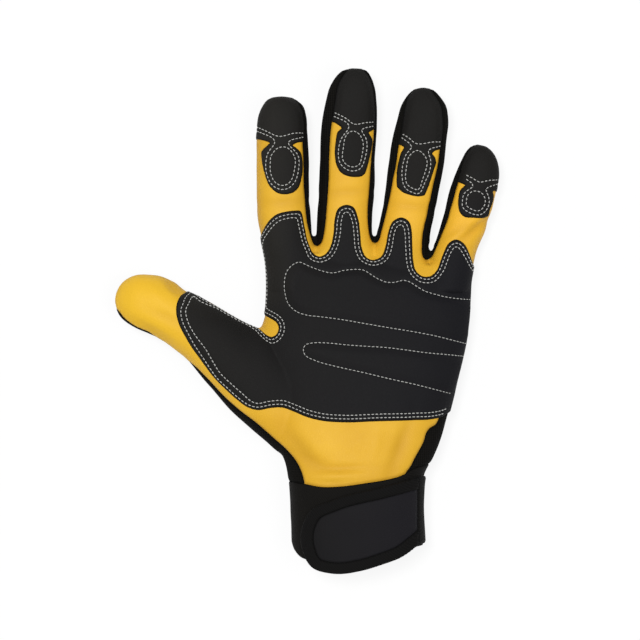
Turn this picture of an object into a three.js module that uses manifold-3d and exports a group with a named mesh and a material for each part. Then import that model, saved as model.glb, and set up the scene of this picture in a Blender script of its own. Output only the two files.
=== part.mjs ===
// A left-hand leather work glove, adult size L, lying on its back with its palm up.
// Millimetres. +X points to the little finger, +Y to the fingertips and +Z out of the palm.
// The origin is on the floor, under the middle of the glove's outline.
import * as THREE from "three";
import { mergeVertices } from "three/addons/utils/BufferGeometryUtils.js";
import Module from "manifold-3d";

const LEATHER_WALL = 1.4; // the leather front, the fabric back and the finger side strips
const CUFF_WALL = 2; // neoprene
const PATCH_WALL = 1; // synthetic leather laid on the front
const PAD_RISE = 0.9; // how far the two padded zones stand above the palm patch
const LAY_GAP = 0.3; // between a patch and the leather under it
const SEAM_GAP = 0.3; // between pieces sewn edge to edge
const STRIP_DROP = 5; // how far a finger's side strip reaches below the front's edge
const MOUTH_OVERRUN = 16; // how far the wrist's hollow and the strap run past the cuff's mouth
const STRAP_GAP = 0.4; // between the cuff and the strap that lies on it
const STRAP_WALL = 2; // the panel of the closing strap
const BINDING_WALL = 2.5; // the doubled border of the strap
const BINDING_WIDTH = 5.8;
const STRAP_END = 55; // where the strap goes under its welt, in X
const WELT = { left: 55.4, right: 64, bottom: -111.5, top: -81, wall: 1.3, drop: 8 };
const ROOF = 70; // cutting solids reach from this height down to their foot
const FOOT = -35;
const BELOW = -140; // and this far past the cuff's mouth, in Y
const ABOVE = -60; // the strap lies between here and there
const BESIDE = -40; // and to the right of here
const STRIP_CLEAR = 4; // how far a strip's cutting solid reaches into the space between the fingers
const CROTCH_CLEAR = 2; // a strip follows the finger's sections from this far above its crotch
const CAP_CLEAR = 30; // how far a fingertip patch's cutting solid reaches past the tip, all round
const NECK_OVERLAP = 4; // how far a fingertip patch's neck runs into its lobe
const PALM_SIDES = 22;
const THUMB_SIDES = 16;
const FINGER_SIDES = 14;
const HOLLOW_SIDES_LESS = 4; // the hollow inside has fewer sides than the outer form
const PALM_SQUARENESS = 2.5; // exponent of the superellipse that a section follows
const FINGER_SQUARENESS = 2.2;
const LOBE_SIDES = 14;
const LOBE_SQUARENESS = 2.7;

// Height of the widest line, where front and back are sewn, along the glove.
const SEAM_HEIGHT = [
  { y: -135, z: 19.2 },
  { y: -60, z: 18.2 },
  { y: -30, z: 16.4 },
  { y: 0, z: 14.4 },
  { y: 30, z: 12.8 },
  { y: 60, z: 13.9 },
  { y: 100, z: 18.4 },
  { y: 130, z: 23.5 },
];

// The thumb lifts away from the floor towards its tip.
const THUMB_LIFT = [
  { x: -110, z: 4.6 },
  { x: -70, z: 2.6 },
  { x: -22, z: 0 },
  { x: 110, z: 0 },
];

// Sections across the wrist and palm, from the cuff's mouth to the roots of the fingers.
const PALM = [
  { left: [-6.75, -117.5], right: [56.5, -112], deep: 21.2 },
  { left: [-8.75, -89.5], right: [56.5, -88.5], deep: 21 },
  { left: [-9.25, -76.5], right: [58.5, -76.5], deep: 20.8 },
  { left: [-12.25, -68.5], right: [62.25, -68.5], deep: 20.6 },
  { left: [-18.25, -59.5], right: [66, -59.5], deep: 20.4 },
  { left: [-19.75, -47], right: [69.25, -45.5], deep: 19.9 },
  { left: [-20.75, -32], right: [73.25, -32], deep: 18.9 },
  { left: [-20.5, -8], right: [78.6, -9], deep: 17.2 },
  { left: [-20, 18], right: [80.5, 10.5], deep: 15.2 },
  { left: [-20.25, 29.5], right: [81.25, 20.5], deep: 13 },
  { left: [-21.5, 36.5], right: [83.25, 26], deep: 9.8 },
];

// Sections across each finger, from inside the palm to the fingertip.
const INDEX = {
  tip: [-13.5, 111],
  rows: [
    { y: 15.5, left: -19.75, right: 8.75, deep: 12.3 },
    { y: 29.5, left: -20.75, right: 7.25, deep: 12.2 },
    { y: 40.5, left: -22.25, right: 3.4, deep: 11.8 },
    { y: 53, left: -24.75, right: 1.5, deep: 11.2 },
    { y: 65.5, left: -25.25, right: 0.75, deep: 10.8 },
    { y: 94.5, left: -24, right: 0, deep: 9.6 },
    { y: 103, left: -23.25, right: -2, deep: 7.6 },
    { y: 107, left: -21.5, right: -4.25, deep: 5.6 },
    { y: 109, left: -18.5, right: -7.25, deep: 3.6 },
  ],
};
const MIDDLE = {
  tip: [22.5, 125.2],
  rows: [
    { y: 15.5, left: -0.75, right: 38.25, deep: 12.3 },
    { y: 29.5, left: -0.75, right: 38.25, deep: 12.3 },
    { y: 40.5, left: 3.2, right: 34, deep: 12 },
    { y: 53, left: 4.75, right: 32.75, deep: 11.4 },
    { y: 65.5, left: 5.75, right: 33.5, deep: 11 },
    { y: 98, left: 7, right: 35, deep: 10 },
    { y: 110, left: 8.75, right: 34.75, deep: 8.6 },
    { y: 117, left: 11, right: 33.5, deep: 6.8 },
    { y: 121.5, left: 14.25, right: 31.25, deep: 5 },
    { y: 124, left: 17.25, right: 28.25, deep: 3.2 },
  ],
};
const RING = {
  tip: [56.75, 115.5],
  rows: [
    { y: 15.5, left: 28.75, right: 64.25, deep: 12.3 },
    { y: 28.5, left: 28.75, right: 63.25, deep: 12.2 },
    { y: 40.5, left: 32.5, right: 61.25, deep: 11.8 },
    { y: 53, left: 36.5, right: 63.5, deep: 11.2 },
    { y: 65.5, left: 39, right: 65.75, deep: 10.8 },
    { y: 90.5, left: 42, right: 69.5, deep: 9.8 },
    { y: 101, left: 44.75, right: 70.25, deep: 8.6 },
    { y: 108, left: 47, right: 68.75, deep: 6.6 },
    { y: 112, left: 49.5, right: 65.25, deep: 4.8 },
    { y: 114.25, left: 51.75, right: 62.25, deep: 3.2 },
  ],
};
const LITTLE = {
  tip: [85.25, 87.5],
  rows: [
    { y: 15.5, left: 57.25, right: 80.75, deep: 11.6 },
    { y: 27.5, left: 58.25, right: 82.25, deep: 11.4 },
    { y: 35.5, left: 61.75, right: 84.75, deep: 11 },
    { y: 45.5, left: 65.5, right: 88.25, deep: 10.4 },
    { y: 55.5, left: 68.5, right: 92, deep: 10 },
    { y: 65.5, left: 71, right: 94.25, deep: 9.4 },
    { y: 74, left: 74, right: 94.75, deep: 8.2 },
    { y: 80, left: 77, right: 93.5, deep: 6.4 },
    { y: 84, left: 79.25, right: 91.25, deep: 4.6 },
    { y: 86.25, left: 81.5, right: 88.75, deep: 3 },
  ],
};

// Sections across the thumb, from inside the palm to its tip.
const THUMB = {
  tip: [-96.25, 10.5],
  rows: [
    { x: 10, low: -56, high: -18, deep: 12 },
    { x: -11.75, low: -67, high: -12, deep: 16 },
    { x: -21.75, low: -59.5, high: -6.5, deep: 16.8 },
    { x: -29.75, low: -53, high: -2.75, deep: 16.8 },
    { x: -37.75, low: -46, high: 1.75, deep: 16.4 },
    { x: -49.75, low: -31.5, high: 8.75, deep: 15.1 },
    { x: -61.75, low: -17.5, high: 15, deep: 13.6 },
    { x: -69.75, low: -11.5, high: 21, deep: 13 },
    { x: -77.75, low: -6.5, high: 23, deep: 12.4 },
    { x: -87, low: -2.6, high: 22.8, deep: 10 },
    { x: -93.75, low: 3, high: 18, deep: 5.4 },
  ],
};

// Black side strips between the fingers: how far each comes round onto the two fronts, and
// the lowest point of the leather's edge between them.
const SIDE_STRIPS = [
  { name: "index_middle", from: INDEX, from_width: 2.3, to: MIDDLE, to_width: 4.4, crotch: [4.25, 37.5] },
  { name: "middle_ring", from: MIDDLE, from_width: 2.5, to: RING, to_width: 3.3, crotch: [33.75, 37.75] },
  { name: "ring_little", from: RING, from_width: 3.4, to: LITTLE, to_width: 2.3, crotch: [60.25, 28.75] },
];

// Fingertip patches: the cap's lower edge runs from edge_left to edge_right and is broken by
// the neck of an oval lobe.
const TIP_PATCHES = [
  {
    name: "index",
    finger: INDEX,
    edge: { left: [-25.5, 90.9], right: [-2.2, 89.4] },
    neck: { left: [-18.4, 88.6], right: [-7.8, 87.8] },
    lobe: { centre: [-12.4, 76.2], width: 19.6, length: 26.2, taper: 0.1, tilt: 2 },
  },
  {
    name: "middle",
    finger: MIDDLE,
    edge: { left: [12.2, 99.4], right: [33.4, 95.9] },
    neck: { left: [17.4, 96], right: [29.8, 93.8] },
    lobe: { centre: [22.7, 83.9], width: 17.8, length: 24.6, taper: 0.1, tilt: -1 },
  },
  {
    name: "ring",
    finger: RING,
    edge: { left: [45.8, 88], right: [66, 85.6] },
    neck: { left: [48.5, 86.7], right: [61.5, 83.8] },
    lobe: { centre: [54, 74.2], width: 18.6, length: 25, taper: 0.08, tilt: -7 },
  },
  {
    name: "little",
    finger: LITTLE,
    edge: { left: [75.8, 69.1], right: [94.5, 64.8] },
    neck: { left: [79.1, 67.7], right: [91.5, 65.8] },
    lobe: { centre: [83.7, 59.8], width: 17.4, length: 17, taper: 0.06, tilt: -6 },
  },
];

// The palm patch, edge by edge, each a smooth curve through its points.
const PALM_PATCH = {
  thumb_end_and_heel: [
    [-59.75, 17.5], [-64.5, 10], [-65.25, 3.5], [-60.75, -7.75], [-49.75, -23.75], [-40.75, -33.75],
    [-29.75, -42.75], [-24.75, -44.25], [-12.75, -43], [-0.75, -47.5], [17.25, -50.25], [52.25, -49.25],
    [67.25, -47.5], [77, -43],
  ],
  little_side: [[92, -15], [90, 23]],
  finger_scallops: [
    [84.5, 24.5], [80.75, 33.5], [74.25, 40.75], [68.5, 35], [64.5, 25], [59.25, 21.7], [54, 25],
    [52, 41], [47.25, 51.75], [41.5, 47.5], [38.5, 35.5], [33, 30.25], [28, 34], [25.5, 47.5], [19.25, 58],
    [14, 53], [12.2, 39.5], [6.25, 32], [0.5, 38], [-3.25, 55.25], [-15.75, 53], [-25, 42.5],
  ],
  index_side: [[-31, 40], [-29, 2.5]],
  thumb_notch: [[-25.75, 2.5], [-18.5, 1.2], [-13.75, -5], [-18.75, -9], [-28.75, -5]],
  thumb_top: [[-36, 6], [-52, 15.5]],
};

// The padded zones of the palm patch run to the little finger's side.
const PADS = [
  [
    [88, 10.5], [68.75, 12], [58.5, 14.75], [48.5, 20.2], [41.75, 19], [35, 21], [28.5, 25.25], [18.25, 25.25],
    [6.5, 25.25], [-4.25, 29.5], [-11, 22.5], [-9.5, 8.75], [-1.5, 3.25], [15.25, 1], [41, -3.5], [88, -13],
  ],
  [
    [86, -18.5], [48.25, -14.25], [19, -11.75], [2.75, -11], [-2.25, -14.3], [3.5, -19.5], [27, -25.5],
    [55.5, -32], [84, -39],
  ],
];

// Where the fabric of the back comes round the two sides of the wrist, inner edge first.
const WRIST_BANDS = [
  [
    [-1.75, -90], [-2.75, -76.5], [-9.75, -65.25], [-25.75, -51], [-41.75, -38], [-57.75, -21.75],
    [-68, -13], [-76, -26], [-45, -60], [-30, -90],
  ],
  [[48, -90], [50, -74.5], [56.5, -62.5], [60.25, -54.5], [64.5, -48.5], [74, -46.8], [90, -60], [90, -90]],
];

const CUFF_TOP = [
  [-30, -79], [-1.75, -81], [11.75, -82.8], [29.25, -80.75], [47.75, -76.5], [61.25, -71.5], [75, -68],
];

const STRAP = [
  [74, -71.7], [40, -81.4], [12.7, -88.6], [2.5, -93.8], [-1.5, -102], [-1.5, -113], [3, -122.2],
  [12.5, -125.1], [26, -123.7], [41.8, -118.3], [74, -102.5],
];

const wasm = await Module();
wasm.setup();

// A closed three.js geometry as a solid that can be joined and cut.
function solidOf(geometry) {
  geometry.deleteAttribute("normal");
  geometry.deleteAttribute("uv");
  const merged = mergeVertices(geometry);
  return new wasm.Manifold(
    new wasm.Mesh({
      numProp: 3,
      vertProperties: new Float32Array(merged.attributes.position.array),
      triVerts: new Uint32Array(merged.index.array),
    }),
  );
}

const unite = (solids) => solids.reduce((all, next) => all.add(next));

// Bends a circle's cosine or sine towards a square with round corners.
const bend = (value, squareness) => Math.sign(value) * Math.abs(value) ** (2 / squareness);

// The value of a table's column at a place between two of its rows.
function between(table, at, column, value) {
  const upper = Math.max(1, table.findIndex((row) => row[column] >= at));
  const high = table[upper];
  const low = table[upper - 1];
  return low[value] + ((high[value] - low[value]) * (at - low[column])) / (high[column] - low[column]);
}

const seamHeight = (x, y) =>
  between(SEAM_HEIGHT, y, "y", "z") + between(THUMB_LIFT, x, "x", "z");

// A skin over equal rings of points, closed at both ends by a fan to one point.
function skin(rings, start, end) {
  const sides = rings[0].length;
  const points = [...rings.flat(), start, end];
  const faces = [];
  const last = (rings.length - 1) * sides;
  for (let side = 0; side < sides; side++) {
    const next = (side + 1) % sides;
    for (let base = 0; base < last; base += sides) {
      faces.push(base + side, base + sides + side, base + next);
      faces.push(base + next, base + sides + side, base + sides + next);
    }
    faces.push(side, next, points.length - 2);
    faces.push(last + next, last + side, points.length - 1);
  }
  const geometry = new THREE.BufferGeometry().setFromPoints(points);
  return solidOf(geometry.setIndex(faces));
}

// Moves each point of an open line sideways, to the left of its direction.
function shiftedLine(points, distance) {
  return points.map((point, i) => {
    const before = points[Math.max(i - 1, 0)];
    const after = points[Math.min(i + 1, points.length - 1)];
    const along = after.clone().sub(before).normalize();
    return new THREE.Vector2(point.x - along.y * distance, point.y + along.x * distance);
  });
}

// One superellipse across the glove, from left to right at the height of the side seam.
function section(left, right, deep, grow, sides, squareness) {
  const a = new THREE.Vector3(left.x, left.y, seamHeight(left.x, left.y));
  const b = new THREE.Vector3(right.x, right.y, seamHeight(right.x, right.y));
  const centre = a.clone().lerp(b, 0.5);
  const half = b.clone().sub(centre);
  return Array.from({ length: sides }, (_, side) => {
    const angle = (2 * Math.PI * side) / sides;
    const point = centre.clone().addScaledVector(half, bend(Math.cos(angle), squareness));
    // The glove's own weight presses its back flat on the floor.
    point.z = Math.max(point.z + (deep + grow) * bend(Math.sin(angle), squareness), -grow);
    return point;
  });
}

// A tube through a list of sections, grown outwards all round or shrunk where grow is negative.
function tube(rows, tip, grow, outerSides, squareness) {
  const sides = grow < 0 ? outerSides - HOLLOW_SIDES_LESS : outerSides;
  const left = shiftedLine(rows.map((row) => new THREE.Vector2(...row.left)), grow);
  const right = shiftedLine(rows.map((row) => new THREE.Vector2(...row.right)), -grow);
  const rings = rows.map((row, i) => section(left[i], right[i], row.deep, grow, sides, squareness));
  const middle = (ring) => ring[0].clone().lerp(ring[sides / 2], 0.5);
  let end = middle(rings.at(-1));
  if (tip) {
    const point = new THREE.Vector3(...tip, seamHeight(...tip));
    end = point.addScaledVector(point.clone().sub(end).normalize(), grow);
  }
  return skin(rings, middle(rings[0]), end);
}

function wrist(grow) {
  const rows = PALM.map((row) => ({ ...row }));
  if (grow !== 0) {
    const { left, right, deep } = PALM[0];
    const past = ([x, y]) => [x, y - MOUTH_OVERRUN];
    rows.unshift({ left: past(left), right: past(right), deep });
  }
  // The closed end at the roots of the fingers grows as well.
  const root = rows.at(-1);
  root.left = [root.left[0], root.left[1] + grow];
  root.right = [root.right[0], root.right[1] + grow];
  return tube(rows, null, grow, PALM_SIDES, PALM_SQUARENESS);
}

function finger({ rows, tip }, grow) {
  const crossed = rows.map(({ y, left, right, deep }) => ({ left: [left, y], right: [right, y], deep }));
  return tube(crossed, tip, grow, FINGER_SIDES, FINGER_SQUARENESS);
}

function thumb(grow) {
  const crossed = THUMB.rows.map(({ x, low, high, deep }) => ({ left: [x, low], right: [x, high], deep }));
  return tube(crossed, THUMB.tip, grow, THUMB_SIDES, FINGER_SQUARENESS);
}

// The whole hand's outer form, or one grown or shrunk from it.
const hand = (grow) =>
  unite([wrist(grow), thumb(grow), ...[INDEX, MIDDLE, RING, LITTLE].map((each) => finger(each, grow))]);

// All that lies above the side seam, or above a line dropped below it.
function aboveSeam(drop) {
  const rings = SEAM_HEIGHT.map(({ y }) => {
    const floor = THUMB_LIFT.map(({ x }) => new THREE.Vector3(x, y, seamHeight(x, y) - drop));
    const roof = [THUMB_LIFT.at(-1).x, THUMB_LIFT[0].x].map((x) => new THREE.Vector3(x, y, ROOF));
    return [...floor, ...roof];
  });
  const middle = (ring) => ring.reduce((sum, point) => sum.add(point), new THREE.Vector3()).divideScalar(ring.length);
  return skin(rings, middle(rings[0]), middle(rings.at(-1)));
}

// An outline seen from above, cut straight down through the glove.
function prism(outline) {
  const shape = new THREE.Shape(outline);
  const geometry = new THREE.ExtrudeGeometry(shape, { depth: ROOF - FOOT, bevelEnabled: false });
  return solidOf(geometry.translate(0, 0, FOOT));
}

const vectors = (points) => points.map(([x, y]) => new THREE.Vector2(x, y));

// A smooth open curve through a few points, as many points again.
const smooth = (points, count = Math.round(1.4 * points.length)) =>
  new THREE.SplineCurve(vectors(points)).getPoints(count);

// A closed outline moved outwards by a distance, or inwards where it is negative.
function outset(outline, distance) {
  const turn = THREE.ShapeUtils.isClockWise(outline) ? 1 : -1;
  const count = outline.length;
  const loop = [outline[count - 1], ...outline, outline[0]];
  return shiftedLine(loop, turn * distance).slice(1, -1);
}

// The region of a side strip, grown by a gap: down one finger, round the crotch, up the next.
function stripRegion(strip, gap) {
  const reach = ({ rows }) => rows.filter(({ y }) => y > strip.crotch[1] + CROTCH_CLEAR).slice(0, -1);
  const down = reach(strip.from).reverse();
  const up = reach(strip.to);
  const outline = [
    [down[0].right + STRIP_CLEAR, down[0].y + gap],
    ...down.map(({ right, y }) => [right - strip.from_width - gap, y + gap]),
    [strip.crotch[0], strip.crotch[1] - gap],
    ...up.map(({ left, y }) => [left + strip.to_width + gap, y + gap]),
    [up.at(-1).left - STRIP_CLEAR, up.at(-1).y + gap],
  ];
  return prism(vectors(outline)).intersect(aboveSeam(STRIP_DROP + gap));
}

// An egg-shaped lobe: wider at its top where taper is positive, and turned by its tilt.
function lobeOutline({ centre, width, length, taper, tilt }) {
  return Array.from({ length: LOBE_SIDES }, (_, side) => {
    const angle = (2 * Math.PI * side) / LOBE_SIDES;
    const rise = bend(Math.sin(angle), LOBE_SQUARENESS);
    const across = bend(Math.cos(angle), LOBE_SQUARENESS) * (1 + taper * rise);
    const point = new THREE.Vector2((width / 2) * across, (length / 2) * rise);
    return point.rotateAround(new THREE.Vector2(), THREE.MathUtils.degToRad(tilt)).add(new THREE.Vector2(...centre));
  });
}

function tipPatchRegion({ finger: { tip }, edge, neck, lobe }) {
  const inLobe = ([x, y]) => [x, y - NECK_OVERLAP];
  const outline = [
    [tip[0] - CAP_CLEAR, edge.left[1]],
    edge.left,
    neck.left,
    inLobe(neck.left),
    inLobe(neck.right),
    neck.right,
    edge.right,
    [tip[0] + CAP_CLEAR, edge.right[1]],
    [tip[0] + CAP_CLEAR, tip[1] + CAP_CLEAR],
    [tip[0] - CAP_CLEAR, tip[1] + CAP_CLEAR],
  ];
  return prism(vectors(outline)).add(prism(lobeOutline(lobe)));
}

const cuffRegion = (gap) => {
  const edge = shiftedLine(smooth(CUFF_TOP), gap);
  return prism([...edge, new THREE.Vector2(edge.at(-1).x, BELOW), new THREE.Vector2(edge[0].x, BELOW)]);
};

const bandRegions = (gap) => unite(WRIST_BANDS.map((band) => prism(outset(vectors(band), gap))));

const outer = hand(0);
const front = aboveSeam(0);
const wall = outer.subtract(hand(-LEATHER_WALL)).subtract(cuffRegion(SEAM_GAP));
const strips = unite(SIDE_STRIPS.map((strip) => stripRegion(strip, SEAM_GAP)));

const palmLeather = wall.intersect(front).subtract(strips).subtract(bandRegions(SEAM_GAP));
const backFabric = wall
  .subtract(aboveSeam(SEAM_GAP))
  .add(wall.intersect(bandRegions(0)))
  .subtract(strips);
const cuff = outer.subtract(wrist(-CUFF_WALL)).intersect(cuffRegion(0));

// What lies on the front of a form, from one height above it to another.
const layer = (form, low, high) => form(high).subtract(form(low)).intersect(front);

const patchTop = LAY_GAP + PATCH_WALL;
const palmOutline = [
  ...smooth(PALM_PATCH.thumb_end_and_heel),
  ...vectors(PALM_PATCH.little_side),
  ...smooth(PALM_PATCH.finger_scallops),
  ...vectors(PALM_PATCH.index_side),
  ...smooth(PALM_PATCH.thumb_notch),
  ...vectors(PALM_PATCH.thumb_top),
];
const palmRegion = prism(palmOutline);
const padRegion = unite(PADS.map((pad) => prism(smooth(pad, pad.length))));
const palmPatch = layer(hand, LAY_GAP, patchTop + PAD_RISE)
  .intersect(padRegion)
  .add(layer(hand, LAY_GAP, patchTop))
  .intersect(palmRegion);

const strapOutline = smooth(STRAP);
const strapLimit = prism(vectors([[BESIDE, ABOVE], [STRAP_END, ABOVE], [STRAP_END, BELOW], [BESIDE, BELOW]]));
const strapPanel = layer(wrist, STRAP_GAP, STRAP_GAP + STRAP_WALL)
  .intersect(prism(outset(strapOutline, -BINDING_WIDTH)))
  .intersect(strapLimit);
const strapBinding = layer(wrist, STRAP_GAP, STRAP_GAP + BINDING_WALL)
  .intersect(prism(strapOutline))
  .subtract(prism(outset(strapOutline, SEAM_GAP - BINDING_WIDTH)))
  .intersect(strapLimit);
const strapWelt = wrist(STRAP_GAP + WELT.wall)
  .subtract(wrist(STRAP_GAP))
  .intersect(aboveSeam(WELT.drop))
  .intersect(
    prism(
      vectors([
        [WELT.left, WELT.bottom],
        [WELT.right, WELT.bottom],
        [WELT.right, WELT.top],
        [WELT.left, WELT.top],
      ]),
    ),
  );

const finish = (color, roughness) => new THREE.MeshStandardMaterial({ color, roughness, metalness: 0 });
const FINISHES = {
  yellow_leather: finish(0xf0be3c, 0.6),
  black_knit: finish(0x161616, 0.9),
  black_synthetic: finish(0x232323, 0.75),
  black_neoprene: finish(0x181614, 0.85),
  charcoal_panel: finish(0x24222a, 0.8),
  black_binding: finish(0x0e0e0e, 0.9),
};

function meshOf(name, solid, material) {
  const made = solid.getMesh();
  const geometry = new THREE.BufferGeometry();
  geometry.setAttribute("position", new THREE.BufferAttribute(made.vertProperties, made.numProp));
  geometry.setIndex(new THREE.BufferAttribute(made.triVerts, 1));
  geometry.computeVertexNormals();
  const mesh = new THREE.Mesh(geometry, material);
  mesh.name = name;
  return mesh;
}

const glove = new THREE.Group();
glove.add(meshOf("palm_leather", palmLeather, FINISHES.yellow_leather));
glove.add(meshOf("back_fabric", backFabric, FINISHES.black_knit));
for (const strip of SIDE_STRIPS) {
  const solid = wall.intersect(stripRegion(strip, 0));
  glove.add(meshOf("fourchette_" + strip.name, solid, FINISHES.black_knit));
}
glove.add(meshOf("palm_patch", palmPatch, FINISHES.black_synthetic));
for (const patch of TIP_PATCHES) {
  const form = (grow) => finger(patch.finger, grow);
  const solid = layer(form, LAY_GAP, patchTop).intersect(tipPatchRegion(patch)).subtract(strips);
  glove.add(meshOf("fingertip_patch_" + patch.name, solid, FINISHES.black_synthetic));
}
glove.add(meshOf("cuff", cuff, FINISHES.black_neoprene));
glove.add(meshOf("strap_panel", strapPanel, FINISHES.charcoal_panel));
glove.add(meshOf("strap_binding", strapBinding, FINISHES.black_binding));
glove.add(meshOf("strap_welt", strapWelt, FINISHES.black_binding));

export default glove;
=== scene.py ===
# A left-hand leather work glove, adult size L, lying on its back with its palm up.
# +X points to the little finger, +Y to the fingertips and +Z out of the palm.
# A piece is shaped in millimetres and becomes metres when it is finished.
import math

import bmesh
import bpy
import numpy as np
from mathutils import Matrix, Vector, noise
from mathutils.bvhtree import BVHTree
from mathutils.kdtree import KDTree


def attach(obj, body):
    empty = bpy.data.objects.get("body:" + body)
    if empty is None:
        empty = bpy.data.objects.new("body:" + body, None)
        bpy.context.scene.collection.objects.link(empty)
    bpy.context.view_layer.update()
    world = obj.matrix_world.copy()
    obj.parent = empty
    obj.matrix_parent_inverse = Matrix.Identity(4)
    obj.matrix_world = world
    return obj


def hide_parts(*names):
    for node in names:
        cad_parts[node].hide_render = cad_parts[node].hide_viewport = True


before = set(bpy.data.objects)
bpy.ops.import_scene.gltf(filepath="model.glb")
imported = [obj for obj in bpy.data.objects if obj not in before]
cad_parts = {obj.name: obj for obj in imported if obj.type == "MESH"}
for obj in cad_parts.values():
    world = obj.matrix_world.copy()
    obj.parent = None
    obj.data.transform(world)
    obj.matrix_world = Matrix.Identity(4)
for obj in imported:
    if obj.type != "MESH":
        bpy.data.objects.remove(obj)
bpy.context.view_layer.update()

# The leather front: one panel of yellow cowhide that runs from the cuff over the palm, the thumb and
# the four fingers. Like the other panels it is cut here from the form of the filled glove, and its
# edges turn in where they are sewn.
LEATHER_WALL = 1.3
# The height of the seam between front and back as y and height, and what the thumb adds as x and height.
SEAM_HEIGHT = [
    (-135, 19.2), (-60, 18.2), (-30, 16.4), (0, 14.4), (30, 12.8), (60, 13.9), (100, 18.4), (130, 23.5),
]
THUMB_LIFT = [(-110, 4.6), (-70, 2.6), (-22, 0), (110, 0)]
# Rows across the palm, from the mouth to the finger roots: left x and y, right x and y, depth.
PALM = [
    (-8, -133.5, 58, -128, 21.2),
    (-8, -117.5, 58, -112, 21.2),
    (-8.8, -89.5, 57.1, -88.5, 21),
    (-9.9, -77.5, 58.4, -76.5, 20.8),
    (-12, -68.5, 62.7, -68.5, 20.6),
    (-18.25, -59.5, 66.5, -59.5, 20.4),
    (-19.75, -47, 70.2, -47, 19.9),
    (-20.75, -32, 73.9, -32, 18.9),
    (-24.5, -8, 79.4, -9, 17.2),
    (-21.3, 3, 80.3, 0.5, 16.3),
    (-20.2, 18, 81.2, 10.5, 15.2),
    (-20.7, 29.5, 81.9, 20.5, 13),
    (-22, 36.5, 82.4, 26, 9.8),
]
# Each finger's tip, and rows across it from its root: y, left x, right x, depth.
FINGERS = {
    "index": {
        "tip": (-13, 112.3),
        "rows": [
            (15.5, -19.75, 8.75, 12.3),
            (29.5, -20.75, 7.25, 12.2),
            (40.5, -22.9, 2.8, 11.8),
            (43.5, -23.5, 2.3, 11.6),
            (48, -24.5, 2, 11.4),
            (53, -25.1, 1.6, 11.2),
            (65.5, -25.4, 1, 10.8),
            (80, -25.5, 1, 10.3),
            (94.5, -25.4, 0.2, 9.8),
            (103, -24.3, -0.5, 8),
            (107.8, -22.1, -2.2, 6),
            (110.4, -20, -5.4, 3.9),
        ],
    },
    "middle": {
        "tip": (22.5, 126.1),
        "rows": [
            (15.5, -0.75, 38.25, 12.3),
            (29.5, -0.75, 38.25, 12.3),
            (40.5, 4.8, 33.2, 12),
            (43.5, 4.6, 32.7, 11.8),
            (48, 4.6, 32.5, 11.6),
            (53, 4.8, 32.7, 11.4),
            (65.5, 5.4, 33.8, 11),
            (80, 5.9, 33.8, 10.5),
            (98, 6.7, 34.8, 10),
            (110, 9, 34.6, 8.6),
            (117, 10.9, 33.6, 6.8),
            (121.7, 13.6, 31.9, 5),
            (124.8, 16.5, 29.9, 3.3),
        ],
    },
    "ring": {
        "tip": (57.4, 116.9),
        "rows": [
            (15.5, 28.75, 64.25, 12.3),
            (28.5, 28.75, 62, 12.2),
            (35, 31, 60.8, 12),
            (40.5, 33.9, 61.5, 11.8),
            (43.5, 34.5, 61.9, 11.6),
            (46, 35.2, 62.3, 11.5),
            (53, 36.8, 63.9, 11.2),
            (65.5, 38.9, 66, 10.8),
            (79, 40.6, 68.6, 10.3),
            (90.5, 42.2, 69.7, 9.8),
            (101, 44.8, 70.5, 8.6),
            (108, 46.8, 69.3, 6.6),
            (112.2, 49.2, 66.5, 4.9),
            (115.1, 52, 63.9, 3.4),
        ],
    },
    "little": {
        "tip": (85.25, 88.4),
        "rows": [
            (15.5, 57.25, 80.75, 12.8),
            (27.5, 60, 83, 11.8),
            (35.5, 62.5, 84.9, 11),
            (45.5, 65.7, 89.2, 10.4),
            (55.5, 68.6, 92.2, 10),
            (65.5, 71.1, 94.8, 9.4),
            (74, 74.1, 95.9, 8.2),
            (80.4, 76.9, 94.9, 6.4),
            (84.6, 79.1, 92.7, 4.6),
            (87, 81.2, 90, 3),
        ],
    },
}
# The thumb's tip, and rows across it from its root: x, lower y, upper y, depth.
THUMB_TIP = (-96.6, 10.4)
THUMB = [
    (10, -56, -18, 12),
    (-11.75, -67, -12, 16),
    (-21.75, -59.5, -4.5, 16.8),
    (-29.75, -52.6, -2, 16.8),
    (-37.75, -45.3, 2.7, 16.4),
    (-49.75, -31.7, 9.8, 15.1),
    (-61.75, -18.1, 15.5, 13.6),
    (-66.3, -14.6, 19.8, 13.2),
    (-69.75, -12, 21.6, 13),
    (-77.75, -7.2, 23.1, 12.4),
    (-87, -2.9, 22.8, 10),
    (-93.75, 2.1, 18.2, 5.4),
    (-95.8, 5.8, 14.2, 2.8),
]
# Soft folds of the leather: middle, direction in degrees, half length, half width and height.
FOLDS = [
    ((-67.3, 17.6), -46, 6, 2.5, -1.2),
    ((-75, 13), -50, 8, 3, 0.5),
    ((-70, 2), -25, 9, 2.4, -0.6),
    ((-76, -5.5), -32, 13, 2, -0.6),
    ((83, 45), 38, 10, 2, -1.2),
    ((82, 49), 38, 11, 2.2, 0.9),
    ((77, 46), 20, 8, 2, -0.6),
    ((-5, -62), -50, 13, 4.4, -1.2),
    ((4, -70), -20, 7, 3, -0.8),
    ((17, -73), 2, 13, 2.2, -0.9),
    ((14, -76.8), 2, 14, 2, 0.8),
    ((12, -80.2), 0, 6, 1, -0.4),
    ((46, -62), 70, 16, 3.4, -1.2),
    ((34, -60), 80, 10, 3, 0.6),
    ((-10, 59), 5, 12, 2.4, -0.7),
    ((20, 64), 4, 12, 2.4, -0.7),
    ((52, 57), -6, 12, 2.4, -0.7),
]
# A slight unevenness of the whole surface: size and height.
WAVES = ((22, 0.3), (7, 0.1))
VOXEL = 1.05
PRESSED_FLAT = 0.5


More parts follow.
